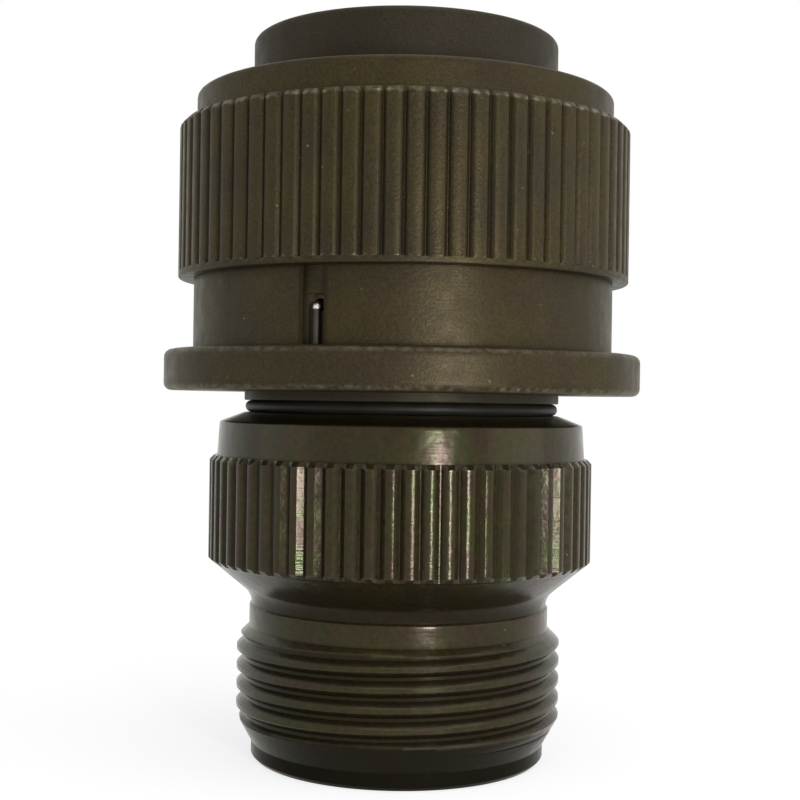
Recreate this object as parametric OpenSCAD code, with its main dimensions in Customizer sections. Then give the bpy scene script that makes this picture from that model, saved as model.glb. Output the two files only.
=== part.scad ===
// Bayonet cable plug: a circular connector with a sprung coupling ring and a screwed backshell.
// The origin is at the middle of the rear end face and +Z runs along the axis to the mating face.
// All sizes are in millimetres.

/* [Backshell] */
// Major diameter of the rear accessory thread
rear_thread_d = 22.2; // [21.6:0.1:24]
// Length of the full thread
rear_thread_len = 5.1; // [3:0.1:9]
// Step from the thread's crests in to the neck above it
neck_relief = 0.82; // [0.7:0.02:1]
// Depth of the grooves between the thread's turns
rear_thread_depth = 0.6; // [0.4:0.02:0.7]
// Pitch of the thread's turns
rear_thread_pitch = 1.27; // [0.8:0.01:1.8]
// Share of the thread's pitch that is flat crest
rear_thread_land = 0.3; // [0.2:0.02:0.5]
// Axial length of the thread's lead-in chamfer
lead_in_len = 1.9; // [0.8:0.1:3]
// Axial length of the thread's run-out chamfer
run_out_len = 0.8; // [0.4:0.1:2]
// Step from the neck's radius in to the plain pilot at the rear end
pilot_step = 0.23; // [0.05:0.01:0.6]
// Length of the plain pilot
pilot_len = 1.15; // [0.8:0.05:3]
// Length of the plain neck above the thread
neck_len = 1.55; // [0.8:0.05:4]
// Step from the neck in to the cove above it
cove_step = 0.14; // [0.04:0.02:0.3]
// Radius of the cove where the neck turns into the flare
cove_r = 1.4; // [0.8:0.1:1.8]
// Height of the flare from the neck up to the grip
flare_len = 3.15; // [2.6:0.05:6]
// Diameter over the grip's teeth
grip_d = 26.3; // [25.9:0.02:29]
// Length of the toothed grip
grip_len = 6.9; // [4:0.1:12]
// Number of grip teeth
grip_teeth = 66; // [40:1:80]
// Depth of the grip's tooth gaps
grip_tooth_depth = 0.34; // [0.2:0.02:0.5]
// Share of the grip's pitch that is flat land
grip_land = 0.34; // [0.2:0.02:0.6]
// Step from the bottom of the tooth gaps in to the smooth cuff
cuff_step = 0.18; // [0.04:0.02:0.4]
// Radial taper of the smooth cuff, from its lower to its upper edge
cuff_taper = 0.15; // [0:0.05:0.8]
// Height of the cuff
cuff_len = 2.3; // [1:0.05:4]
// Height of the cone that closes the cuff's top
crown_len = 0.65; // [0.3:0.05:1.5]
// Diameter of the cable entry bore
cable_bore_d = 16; // [12:0.1:17]

/* [Shell] */
// Diameter of the mating barrel
barrel_d = 20.96; // [19:0.02:21.2]
// Length of barrel that stands out of the coupling ring
barrel_reach = 4; // [1:0.1:12]
// Rounding of the barrel's rim
barrel_rim_r = 0.4; // [0.2:0.1:1]
// Width of the polarising keyway
keyway_w = 3.2; // [1.5:0.1:5]
// Depth of the polarising keyway
keyway_depth = 0.9; // [0.3:0.1:1]
// Length of the polarising keyway
keyway_len = 12; // [3:0.5:14]
// Step from the barrel out to the collar that the coupling ring turns on
collar_step = 0.35; // [0.2:0.05:0.8]
// Step from the collar out to the flange that carries the wire groove
flange_step = 1.52; // [1.3:0.02:1.8]
// Step from the collar in to the thread that holds the backshell
collar_shoulder = 0.93; // [0.85:0.01:1.2]
// Length of the thread that holds the backshell
back_thread_len = 5.9; // [3:0.1:7]
// Wall of the shell under the thread that holds the backshell
rear_wall = 1; // [0.8:0.05:1.3]
// Step that stops the insert inside the shell
insert_step = 0.5; // [0.3:0.05:0.7]

/* [Coupling ring] */
// Gap between the shell's neck face and the ring's flange
ring_gap = 0.6; // [0.4:0.05:2]
// Reach of the rear flange beyond the smooth band
rim_reach = 1.93; // [1.2:0.01:4]
// Thickness of the rear flange
flange_t = 2.75; // [2.3:0.05:5]
// Rounding of the flange's edges
flange_edge_r = 0.5; // [0.1:0.05:1]
// Wall of the smooth band round the shell's flange
band_wall = 1.94; // [1.85:0.01:2.4]
// Length of the smooth band
band_len = 4.85; // [4.4:0.05:8]
// Reach of the knurl beyond the smooth band
knurl_reach = 1.06; // [0.8:0.01:2]
// Length of the knurl
knurl_len = 10.4; // [9:0.1:16]
// Number of knurl teeth
knurl_teeth = 74; // [40:1:90]
// Depth of the knurl's grooves
knurl_depth = 0.26; // [0.16:0.02:0.6]
// Share of the knurl's pitch that is flat land
knurl_land = 0.62; // [0.3:0.02:0.7]
// Chamfer at the knurl's upper end, and twice that of its lower rim
knurl_chamfer = 0.3; // [0.1:0.05:0.6]
// Height of the plain rim below the knurl's teeth
knurl_rim = 0.4; // [0.3:0.05:1]
// Wall of the front lip round the mating bore
lip_wall = 1.55; // [1.3:0.01:1.8]
// Length of the front lip
lip_len = 2.1; // [1:0.1:4]
// Step from the shell's flange out to the bore that takes the mating half
mating_step = 0.32; // [0.1:0.02:0.6]

/* [Bayonet ramps] */
// Number of ramps
ramp_count = 3; // [2:1:3]
// Arc that each ramp covers, in degrees
ramp_arc = 92; // [60:1:100]
// Lead angle of the ramps, in degrees
ramp_lead = 10; // [6:0.5:12]
// Width of the ramp grooves
ramp_w = 2.2; // [1.6:0.1:2.6]
// Depth of the ramp grooves
ramp_depth = 0.9; // [0.4:0.05:1]
// Rise of the locking pocket at a ramp's end
lock_rise = 0.35; // [0.1:0.05:0.6]

/* [Retaining wire and spring] */
// Thickness of the retaining wire
wire_d = 0.5; // [0.4:0.05:0.7]
// Height of the retaining wire above the flange
wire_rise = 2.5; // [1.9:0.05:3]
// Angle of the assembly slot about the axis, in degrees
slot_angle = -112; // [-180:1:180]
// Depth of the slot's shallow upper part
slot_depth = 0.3; // [0.1:0.05:0.5]
// Depth of the slot's lower pocket
slot_pocket_depth = 1; // [0.95:0.01:1.05]
// Axial travel of the coupling ring
ring_travel = 0.8; // [0.3:0.05:1]
// Thickness of the flat slip washer
washer_t = 0.5; // [0.3:0.05:1]
// Height of the wave washer at rest
spring_h = 1.45; // [1.2:0.05:2]
// Thickness of the wave washer's strip
spring_t = 0.3; // [0.2:0.02:0.4]
// Waves round the washer
spring_waves = 3; // [3:1:4]

/* [Insert and contacts] */
// Depth of the insert's face below the barrel's rim
insert_recess = 0.65; // [0.2:0.05:3]
// Contacts round the middle one
outer_contacts = 6; // [3:1:6]
// Radius of the circle of outer contacts
contact_circle_r = 5.2; // [4.6:0.05:5.6]
// Diameter of a contact's socket
socket_d = 2.5; // [2:0.05:2.6]
// Bore of a contact's socket
socket_bore_d = 1.6; // [1:0.05:1.7]
// Depth of a contact's socket
socket_depth = 8; // [5:0.5:9]
// Length of a contact's crimp barrel
crimp_len = 7.4; // [5:0.1:7.8]
// Bore of a contact's crimp barrel
crimp_bore_d = 1.7; // [1:0.05:1.8]
// Thickness of the rear insulator
rear_insulator_t = 4.5; // [3.5:0.1:5]
// Thickness of the snap ring behind the insulators
snap_t = 1; // [0.6:0.1:1.2]
// Thickness of the grommet behind the snap ring
grommet_t = 8.6; // [7:0.1:8.8]
// Thickness of the seal at the barrel's root
seal_t = 1.5; // [0.8:0.1:2.5]
// Thickness of the O-ring under the shell's collar
o_ring_d = 0.8; // [0.6:0.05:1.2]

/* [Hidden] */
$fn = 96;

// Clearances, and how far a cut runs past the face that it opens
running_fit = 0.08;
seat_fit = 0.05;
wire_hole_fit = 0.15;
cut_past = 1;

// Small edges and steps
edge_chamfer = 0.3;
root_share = 0.06;
thread_root_share = 0.16;
first_gap = 0.3;
seal_seat_step = 0.3;
snap_groove_depth = 0.45;
snap_reach = 1;

// Radii that several pieces share
thread_r = rear_thread_d / 2;
neck_r = thread_r - neck_relief;
grip_r = grip_d / 2;
cable_r = cable_bore_d / 2;
barrel_r = barrel_d / 2;
collar_r = barrel_r + collar_step;
shell_flange_r = collar_r + flange_step;
back_thread_r = collar_r - collar_shoulder;
insert_bore_r = back_thread_r - rear_wall;
front_bore_r = insert_bore_r - insert_step;
pocket_r = shell_flange_r + running_fit;
band_r = pocket_r + band_wall;
knurl_r = band_r + knurl_reach;
mating_r = pocket_r + mating_step;
wire_r = wire_d / 2;
wire_ring_r = pocket_r;
wire_groove_r = wire_ring_r + wire_r + seat_fit;
slot_floor_r = band_r - slot_pocket_depth;
tail_r = slot_floor_r + wire_r + seat_fit;

// Heights of the backshell, from its rear end face up
lead_z = pilot_len;
thread_z = lead_z + lead_in_len;
thread_top_z = thread_z + rear_thread_len;
neck_z = thread_top_z + run_out_len;
neck_top_z = neck_z + neck_len;
grip_z = neck_top_z + flare_len;
grip_top_z = grip_z + grip_len;
cuff_top_z = grip_top_z + cuff_len;
backshell_top_z = cuff_top_z + crown_len;

// Heights of the shell and the coupling ring
collar_z = backshell_top_z + o_ring_d;
ring_z = collar_z + ring_gap;
band_z = ring_z + flange_t;
knurl_z = band_z + band_len;
lip_z = knurl_z + knurl_len;
ring_top_z = lip_z + lip_len;
barrel_top_z = ring_top_z + barrel_reach;
wire_groove_wall = 0.6;
wire_groove_h = wire_d + ring_travel + 2 * seat_fit;
wire_z = band_z + wire_rise;
wire_groove_z = wire_z - wire_r - seat_fit;
shell_flange_z = wire_groove_z - wire_groove_wall;
spring_z = shell_flange_z - spring_h;
washer_z = spring_z - washer_t;
pocket_z = washer_z - seat_fit;
seal_z = wire_groove_z + wire_groove_h + wire_groove_wall;
mating_bore_z = seal_z + seal_t;
back_thread_z = backshell_top_z - back_thread_len;

// Heights of the insert stack, from its face down
insert_top_z = barrel_top_z - insert_recess;
insulator_flange_t = 2.5;
insert_shoulder_rise = 5.5;
insert_shoulder_z = seal_z + insert_shoulder_rise;
rear_insulator_z = insert_shoulder_z - insulator_flange_t - rear_insulator_t;
snap_z = rear_insulator_z - snap_t;
grommet_z = snap_z - grommet_t;
follower_flange_t = 1.2;
follower_wall = 1.2;
follower_z = back_thread_z - follower_flange_t - 2 * seat_fit;

// Contacts
socket_r = socket_d / 2;
shoulder_r = socket_r + 0.5;
shoulder_len = 1;
clip_wall = 0.4;
clip_r = socket_r + seat_fit + clip_wall;
clip_seat_t = 0.8;
entry_t = 1;
contact_top_z = insert_top_z - entry_t - seat_fit;
contact_shoulder_z = insert_shoulder_z - insulator_flange_t + seat_fit;
crimp_r = socket_r + seat_fit;
crimp_z = rear_insulator_z - crimp_len;
wire_entry_r = 0.95;

contact_total = outer_contacts + 1;
contact_names = [for (i = [1:contact_total]) str("socket_contact_", i)];
clip_names = [for (i = [1:contact_total]) str("contact_clip_", i)];
single_names = [
    "plug_shell", "coupling_ring", "retaining_wire", "wave_spring", "thrust_washer",
    "mating_seal", "front_insulator", "rear_insulator", "insert_retaining_ring",
    "wire_grommet", "grommet_follower", "backshell_o_ring", "backshell"
];

olive = [0.27, 0.25, 0.19];
gloss_olive = [0.24, 0.23, 0.16];
rubber_black = [0.06, 0.06, 0.06];
insert_grey = [0.13, 0.14, 0.14];
gold = [0.80, 0.62, 0.28];
spring_steel = [0.66, 0.66, 0.64];

// Contact 1 is in the middle, and the others stand on a circle round it.
function contact_place(i) = i == 1
    ? [0, 0, 0]
    : let (a = 90 + (i - 2) * 360 / outer_contacts)
      [contact_circle_r * cos(a), contact_circle_r * sin(a), 0];

// A quarter arc round a centre, for rounded corners in a profile
function arc(centre, r, from, to, steps = 6) =
    [for (i = [0:steps]) let (a = from + (to - from) * i / steps) centre + r * [cos(a), sin(a)]];

// Straight grooves round a turned grip: each tooth keeps a flat land, which is a share of the pitch
module tooth_gaps(teeth, crest_r, depth, land, z0, z1) {
    pitch_w = 2 * PI * crest_r / teeth;
    mouth_w = pitch_w * (1 - land);
    root_w = pitch_w * root_share;
    root_r = crest_r - depth;
    past_r = crest_r + depth;
    past_w = 2 * mouth_w - root_w;
    for (i = [0:teeth - 1]) rotate((i + 0.5) * 360 / teeth)
        translate([0, 0, z0]) linear_extrude(z1 - z0) polygon([
            [root_r, -root_w / 2],
            [past_r, -past_w / 2],
            [past_r, past_w / 2],
            [root_r, root_w / 2]
        ]);
}

// Ring grooves between the thread's turns, which are plain rings here: each keeps a flat crest
module thread_gaps() {
    mouth_w = rear_thread_pitch * (1 - rear_thread_land);
    root_w = rear_thread_pitch * thread_root_share;
    root_r = thread_r - rear_thread_depth;
    past_r = thread_r + rear_thread_depth;
    past_w = 2 * mouth_w - root_w;
    for (i = [0:floor(rear_thread_len / rear_thread_pitch)])
        translate([0, 0, thread_z + (i - first_gap) * rear_thread_pitch]) rotate_extrude() polygon([
            [root_r, -root_w / 2],
            [past_r, -past_w / 2],
            [past_r, past_w / 2],
            [root_r, root_w / 2]
        ]);
}

module at_contacts() {
    for (i = [1:contact_total]) translate(contact_place(i)) children();
}

module bore(r, z0, z1) {
    translate([0, 0, z0]) cylinder(r = r, h = z1 - z0);
}

module tube(outer, inner, z0, z1) {
    difference() {
        bore(outer, z0, z1);
        bore(inner, z0 - cut_past, z1 + cut_past);
    }
}

// Turned shell: rear thread, collar, flange with the wire groove, and the mating barrel
module plug_shell() {
    groove_floor_r = wire_ring_r - wire_r - 3 * seat_fit;
    rim = [barrel_r - barrel_rim_r, barrel_top_z - barrel_rim_r];
    seal_seat_r = barrel_r - seal_seat_step;
    snap_groove_r = insert_bore_r + snap_groove_depth;
    color(olive)
    difference() {
        rotate_extrude() polygon(concat(
            [
                [insert_bore_r, back_thread_z],
                [back_thread_r - edge_chamfer, back_thread_z],
                [back_thread_r, back_thread_z + edge_chamfer],
                [back_thread_r, collar_z],
                [collar_r, collar_z],
                [collar_r, shell_flange_z],
                [shell_flange_r, shell_flange_z],
                [shell_flange_r, wire_groove_z],
                [groove_floor_r, wire_groove_z],
                [groove_floor_r, wire_groove_z + wire_groove_h],
                [shell_flange_r, wire_groove_z + wire_groove_h],
                [shell_flange_r, seal_z],
                [seal_seat_r, seal_z],
                [seal_seat_r, mating_bore_z],
                [barrel_r, mating_bore_z]
            ],
            arc(rim, barrel_rim_r, 0, 90),
            [
                [front_bore_r + edge_chamfer, barrel_top_z],
                [front_bore_r, barrel_top_z - edge_chamfer],
                [front_bore_r, insert_shoulder_z],
                [insert_bore_r, insert_shoulder_z],
                [insert_bore_r, snap_z + snap_t],
                [snap_groove_r, snap_z + snap_t],
                [snap_groove_r, snap_z],
                [insert_bore_r, snap_z]
            ]
        ));
        translate([-keyway_w / 2, barrel_r - keyway_depth, barrel_top_z - keyway_len])
            cube([keyway_w, keyway_depth + cut_past, keyway_len + cut_past]);
    }
}

// One bayonet ramp: an entry slot from the front, a slanted groove and a locking pocket
module bayonet_ramp() {
    start_a = ramp_arc / 2;
    mid_z = lip_z - ramp_w - mating_r * sin(start_a) * tan(ramp_lead) + lip_len / 2;
    floor_r = mating_r + ramp_depth;
    end_rise = floor_r * sin(start_a) * tan(ramp_lead);
    entry_w = ramp_w + 4 * seat_fit;
    lock_r = ramp_w / 2 + 2 * seat_fit;
    slab = 4 * knurl_r;
    intersection() {
        bore(floor_r, 0, ring_top_z + cut_past);
        union() {
            intersection() {
                rotate(-start_a) rotate_extrude(angle = ramp_arc) translate([barrel_r, ring_z])
                    square([floor_r - barrel_r + cut_past, ring_top_z - ring_z]);
                translate([0, 0, mid_z]) rotate([ramp_lead, 0, 0])
                    cube([slab, slab, ramp_w], center = true);
            }
            rotate(start_a) translate([barrel_r, -entry_w / 2, mid_z + end_rise - ramp_w / 2])
                cube([knurl_r, entry_w, ring_top_z]);
            rotate(-start_a) translate([barrel_r, 0, mid_z - end_rise + lock_rise])
                rotate([0, 90, 0]) cylinder(r = lock_r, h = knurl_r);
        }
    }
}

// Assembly slot for the retaining wire: shallow above, a pocket below, and a hole to the groove
module wire_slot() {
    slot_w = 2 * band_r * sin(180 / knurl_teeth) + 2 * running_fit;
    hole_r = wire_r + wire_hole_fit;
    pocket_top_z = wire_z + hole_r + 3 * running_fit;
    rotate(slot_angle) {
        translate([band_r - slot_depth, -slot_w / 2, band_z])
            cube([slot_depth + cut_past, slot_w, band_len]);
        translate([slot_floor_r, -slot_w / 2, band_z])
            cube([slot_pocket_depth + cut_past, slot_w, pocket_top_z - band_z]);
        translate([wire_ring_r, 0, wire_z]) rotate([0, 90, 0])
            cylinder(r = hole_r, h = slot_floor_r - wire_ring_r + cut_past);
    }
}

// Knurled coupling ring, from its rear flange to its front lip
module coupling_ring() {
    flange_r = band_r + rim_reach;
    lip_r = mating_r + lip_wall;
    e = flange_edge_r;
    c = knurl_chamfer;
    rim_c = knurl_chamfer / 2;
    lip_round = edge_chamfer;
    mouth = edge_chamfer;
    color(olive)
    difference() {
        rotate_extrude() polygon(concat(
            [[mating_r, ring_top_z - 2 * mouth], [mating_r, mating_bore_z]],
            [[pocket_r, mating_bore_z], [pocket_r, pocket_z]],
            [[collar_r + running_fit, pocket_z], [collar_r + running_fit, ring_z]],
            arc([flange_r - e, ring_z + e], e, -90, 0),
            arc([flange_r - e, band_z - e], e, 0, 90),
            [[band_r, band_z], [band_r, knurl_z]],
            [[knurl_r - rim_c, knurl_z], [knurl_r, knurl_z + rim_c]],
            [[knurl_r, lip_z - c], [knurl_r - c, lip_z]],
            [[lip_r, lip_z]],
            arc([lip_r - lip_round, ring_top_z - lip_round], lip_round, 0, 90),
            [[mating_r + mouth, ring_top_z]]
        ));
        rotate(slot_angle)
            tooth_gaps(knurl_teeth, knurl_r, knurl_depth, knurl_land, knurl_z + knurl_rim, lip_z + cut_past);
        tube(wire_groove_r, pocket_r - cut_past, wire_groove_z, wire_groove_z + wire_d + 2 * seat_fit);
        wire_slot();
        for (i = [0:ramp_count - 1]) rotate(i * 360 / ramp_count) bayonet_ramp();
    }
}

// Spring wire in the ring's groove: a tail bends out through the hole, at one side of it, and down the slot
module retaining_wire() {
    gap_deg = 14;
    tail_end_z = band_z + 2 * seat_fit;
    lean = asin((wire_hole_fit - seat_fit) / wire_ring_r);
    color(spring_steel)
    rotate(slot_angle - lean) {
        rotate_extrude(angle = 360 - gap_deg) translate([wire_ring_r, wire_z]) circle(r = wire_r);
        translate([wire_ring_r, 0, wire_z]) sphere(r = wire_r);
        translate([wire_ring_r, 0, wire_z]) rotate([0, 90, 0])
            cylinder(r = wire_r, h = tail_r - wire_ring_r);
        translate([tail_r, 0, wire_z]) sphere(r = wire_r);
        translate([tail_r, 0, tail_end_z]) cylinder(r = wire_r, h = wire_z - tail_end_z);
    }
}

// Wave washer: a flat strip ring that rises and falls in a cosine
module wave_spring() {
    steps = 96;
    inner = collar_r + 2 * running_fit;
    outer = pocket_r - 2 * running_fit;
    swing = (spring_h - spring_t) / 2 - seat_fit;
    base_z = spring_z + seat_fit;
    points = [
        for (i = [0:steps - 1], corner = [[inner, 0], [outer, 0], [outer, spring_t], [inner, spring_t]])
            let (a = i * 360 / steps)
            [corner[0] * cos(a), corner[0] * sin(a),
             base_z + swing * (1 - cos(spring_waves * a)) + corner[1]]
    ];
    faces = [
        for (i = [0:steps - 1], k = [0:3])
            let (here = 4 * i, next = 4 * ((i + 1) % steps), m = (k + 1) % 4)
            each [[here + k, next + k, next + m], [here + k, next + m, here + m]]
    ];
    color(spring_steel) polyhedron(points, faces);
}

module thrust_washer() {
    color(spring_steel)
    tube(pocket_r - 2 * running_fit, collar_r + running_fit, washer_z, washer_z + washer_t);
}

// Rubber ring at the barrel's root, with a rounded sealing edge
module mating_seal() {
    inner = barrel_r - seal_seat_step + seat_fit;
    outer = shell_flange_r - seat_fit;
    bead_r = (outer - inner) / 2;
    color(rubber_black)
    rotate_extrude() polygon(concat(
        [[inner, seal_z], [outer, seal_z]],
        arc([inner + bead_r, seal_z + seal_t - bead_r], bead_r, 0, 180, 12)
    ));
}

module front_insulator() {
    flange_z = insert_shoulder_z - insulator_flange_t;
    shoulder_room_z = contact_shoulder_z + shoulder_len + seat_fit;
    entry_r = socket_bore_d / 2 + 4 * seat_fit;
    lead = 0.35;
    color(insert_grey)
    difference() {
        union() {
            bore(front_bore_r - seat_fit, flange_z, insert_top_z);
            bore(insert_bore_r - seat_fit, flange_z, insert_shoulder_z - seat_fit);
        }
        at_contacts() {
            bore(shoulder_r + seat_fit, flange_z - cut_past, shoulder_room_z);
            bore(socket_r + seat_fit, flange_z, contact_top_z + seat_fit);
            bore(entry_r, flange_z, insert_top_z + cut_past);
            translate([0, 0, insert_top_z - lead])
                cylinder(r1 = entry_r, r2 = entry_r + 2 * lead, h = 2 * lead);
        }
    }
}

module rear_insulator() {
    top_z = rear_insulator_z + rear_insulator_t - seat_fit;
    color(insert_grey)
    difference() {
        bore(insert_bore_r - seat_fit, rear_insulator_z, top_z);
        at_contacts() {
            bore(clip_r + seat_fit, rear_insulator_z + clip_seat_t, top_z + cut_past);
            bore(crimp_r + seat_fit, rear_insulator_z - cut_past, top_z);
        }
    }
}

// One crimp contact: socket in front, shoulder, shank and crimp barrel behind
module socket_contact(i) {
    bore_r = socket_bore_d / 2;
    mouth = 0.25;
    crimp_floor = 1;
    peep_r = 0.3;
    peep_z = crimp_z + crimp_len - crimp_floor - 2 * peep_r;
    translate(contact_place(i)) color(gold)
    difference() {
        union() {
            bore(socket_r, contact_shoulder_z, contact_top_z);
            bore(shoulder_r, contact_shoulder_z, contact_shoulder_z + shoulder_len);
            bore(socket_r, rear_insulator_z, contact_shoulder_z);
            bore(crimp_r, crimp_z, rear_insulator_z + clip_seat_t);
        }
        bore(bore_r, contact_top_z - socket_depth, contact_top_z + cut_past);
        translate([0, 0, contact_top_z - mouth])
            cylinder(r1 = bore_r, r2 = bore_r + 2 * mouth, h = 2 * mouth);
        bore(crimp_bore_d / 2, crimp_z - cut_past, crimp_z + crimp_len - crimp_floor);
        translate([0, 0, peep_z]) rotate([90, 0, 0]) cylinder(r = peep_r, h = 2 * crimp_r);
    }
}

// Split sleeve that grips a contact behind its shoulder
module contact_clip(i) {
    clip_z = rear_insulator_z + clip_seat_t + seat_fit;
    clip_top_z = contact_shoulder_z - 2 * seat_fit;
    slit_w = 0.6;
    translate(contact_place(i)) color(gold)
    difference() {
        tube(clip_r, socket_r + seat_fit, clip_z, clip_top_z);
        translate([0, -slit_w / 2, clip_z - cut_past])
            cube([2 * clip_r, slit_w, clip_top_z - clip_z + 2 * cut_past]);
    }
}

// Snap ring in the shell's groove, open at one side
module insert_retaining_ring() {
    ring_outer = insert_bore_r + snap_groove_depth - seat_fit;
    ring_inner = insert_bore_r - snap_reach;
    opening_w = 3;
    color(spring_steel)
    difference() {
        tube(ring_outer, ring_inner, snap_z + seat_fit, snap_z + snap_t - seat_fit);
        translate([-opening_w / 2, 0, snap_z - cut_past])
            cube([opening_w, 2 * ring_outer, snap_t + 2 * cut_past]);
    }
}

// Rubber block behind the insulators, with a spigot through the snap ring and flared wire holes
module wire_grommet() {
    spigot_r = insert_bore_r - snap_reach - seat_fit;
    narrow_z = crimp_z - seat_fit;
    flare = 0.35;
    color(rubber_black)
    difference() {
        union() {
            bore(insert_bore_r - seat_fit, grommet_z, snap_z - seat_fit);
            bore(spigot_r, snap_z - cut_past, rear_insulator_z);
        }
        at_contacts() {
            bore(crimp_r + seat_fit, narrow_z, rear_insulator_z + cut_past);
            bore(wire_entry_r, grommet_z - cut_past, narrow_z + cut_past);
            translate([0, 0, grommet_z - flare])
                cylinder(r1 = wire_entry_r + 2 * flare, r2 = wire_entry_r, h = 2 * flare);
        }
    }
}

// Sleeve between the backshell's inner step and the grommet
module grommet_follower() {
    flange_r = back_thread_r - 2 * seat_fit;
    inner = insert_bore_r - follower_wall;
    color(insert_grey)
    difference() {
        union() {
            bore(flange_r, follower_z, follower_z + follower_flange_t);
            bore(insert_bore_r - 2 * seat_fit, follower_z, grommet_z);
        }
        bore(inner, follower_z - cut_past, grommet_z + cut_past);
    }
}

module backshell_o_ring() {
    r = o_ring_d / 2;
    color(rubber_black)
    rotate_extrude() translate([back_thread_r + r + seat_fit, backshell_top_z + r]) circle(r = r);
}

// Backshell: pilot, accessory thread with its turns as rings, neck, flare, grip and cuff
module backshell() {
    pilot_r = neck_r - pilot_step;
    cuff_r = grip_r - grip_tooth_depth - cuff_step;
    seat_r = back_thread_r + o_ring_d + 2 * seat_fit;
    bore_r = back_thread_r + seat_fit;
    cove = [neck_r - cove_step + cove_r, neck_top_z];
    cove_end = 130;
    color(gloss_olive)
    difference() {
        rotate_extrude() polygon(concat(
            [[cable_r, 0], [pilot_r - edge_chamfer, 0], [pilot_r, edge_chamfer], [pilot_r, lead_z]],
            [[thread_r, thread_z], [thread_r, thread_top_z]],
            [[neck_r, neck_z], [neck_r, neck_top_z - cove_step]],
            arc(cove, cove_r, 180, cove_end),
            [
                [grip_r, grip_z],
                [grip_r, grip_top_z - edge_chamfer],
                [grip_r - edge_chamfer, grip_top_z],
                [cuff_r, grip_top_z],
                [cuff_r - cuff_taper, cuff_top_z],
                [seat_r, backshell_top_z],
                [bore_r, backshell_top_z],
                [bore_r, follower_z - seat_fit],
                [cable_r, follower_z - seat_fit]
            ]
        ));
        tooth_gaps(grip_teeth, grip_r, grip_tooth_depth, grip_land, neck_top_z, grip_top_z + cut_past);
        thread_gaps();
    }
}

plug_shell();
coupling_ring();
retaining_wire();
wave_spring();
thrust_washer();
mating_seal();
front_insulator();
rear_insulator();
insert_retaining_ring();
wire_grommet();
grommet_follower();
backshell_o_ring();
backshell();
for (i = [1:contact_total]) socket_contact(i);
for (i = [1:contact_total]) contact_clip(i);
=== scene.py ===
import math

import bmesh
import bpy
from mathutils import Matrix, Vector


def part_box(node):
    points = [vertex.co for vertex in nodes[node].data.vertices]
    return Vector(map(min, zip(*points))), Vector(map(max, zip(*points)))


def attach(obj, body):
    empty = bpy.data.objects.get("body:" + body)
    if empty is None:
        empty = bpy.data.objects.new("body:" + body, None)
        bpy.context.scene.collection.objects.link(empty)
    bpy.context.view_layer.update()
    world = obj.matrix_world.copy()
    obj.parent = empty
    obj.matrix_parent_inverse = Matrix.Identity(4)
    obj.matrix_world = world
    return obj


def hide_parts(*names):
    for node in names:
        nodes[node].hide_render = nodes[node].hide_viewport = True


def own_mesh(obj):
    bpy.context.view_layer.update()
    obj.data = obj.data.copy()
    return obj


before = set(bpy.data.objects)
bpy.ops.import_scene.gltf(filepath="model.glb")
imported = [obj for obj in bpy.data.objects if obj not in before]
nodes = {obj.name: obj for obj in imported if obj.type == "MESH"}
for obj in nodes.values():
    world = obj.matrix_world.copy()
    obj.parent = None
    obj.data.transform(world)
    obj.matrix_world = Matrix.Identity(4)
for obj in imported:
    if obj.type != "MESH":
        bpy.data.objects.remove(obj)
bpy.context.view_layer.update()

mm = 0.001
fullTurn = 2 * math.pi
weldGap = 0.002 * mm
roundSteps = 4  # faces on each rounded corner
drillSides = 40


# Camera: level with the plug's waist, close in front of it, with the picture's slight roll
cameraSet = {"distance": 97.2, "height": 24.45, "side": -0.1, "lens": 63, "sensor": 36, "roll": 0.85}


def placeCamera():
    camera = bpy.data.objects.new("camera", bpy.data.cameras.new("camera"))
    bpy.context.scene.collection.objects.link(camera)
    camera.data.sensor_width = cameraSet["sensor"]
    camera.data.lens = cameraSet["lens"]
    camera.data.clip_start = mm
    spot = Vector((cameraSet["side"], -cameraSet["distance"], cameraSet["height"])) * mm
    level = Matrix.Rotation(math.radians(90), 4, "X")
    roll = Matrix.Rotation(math.radians(cameraSet["roll"]), 4, "Z")
    camera.matrix_world = Matrix.Translation(spot) @ level @ roll
    bpy.context.scene.camera = camera


# Studio: white surroundings, a pale floor and soft boxes
# a box is (azimuth, distance, height, width, tall, power), in degrees, metres and watts
studioSet = {
    "skyFill": 0.36,
    "floorWidth": 30.0,
    "floorColour": (0.9, 0.9, 0.9, 1),
    "floorBounce": (0.45, 0.45, 0.45, 1),
    "floorGlow": (0.6, 1.275),  # share and strength
    "sunPower": 1.0,
    "sunAngle": 60,
    "sunSpot": (0.2, -0.3, 1),
    "boxes": {
        "keyBox": (21.5, 0.12, 0.016, 0.012, 0.032, 0.085),
        "rightBox": (75, 0.4, 0.15, 0.3, 0.28, 0.3),
        "leftBox": (-75, 0.4, 0.15, 0.3, 0.28, 0.15),
    },
}


def seenRays(tree):
    # camera, glossy and transmission rays all see the white surroundings themselves
    path = tree.nodes.new("ShaderNodeLightPath")
    seen = path.outputs["Is Camera Ray"]
    for other in ("Is Glossy Ray", "Is Transmission Ray"):
        either = tree.nodes.new("ShaderNodeMath")
        either.operation = "MAXIMUM"
        tree.links.new(seen, either.inputs[0])
        tree.links.new(path.outputs[other], either.inputs[1])
        seen = either.outputs[0]
    return seen


def whiteWorld():
    world = bpy.data.worlds.new("whiteWorld")
    world.use_nodes = True
    bpy.context.scene.world = world
    tree = world.node_tree
    background = tree.nodes["Background"]
    background.inputs["Color"].default_value = (1, 1, 1, 1)
    strength = tree.nodes.new("ShaderNodeMapRange")
    strength.inputs["To Min"].default_value = studioSet["skyFill"]
    strength.inputs["To Max"].default_value = 1
    tree.links.new(seenRays(tree), strength.inputs["Value"])
    tree.links.new(strength.outputs["Result"], background.inputs["Strength"])


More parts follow.
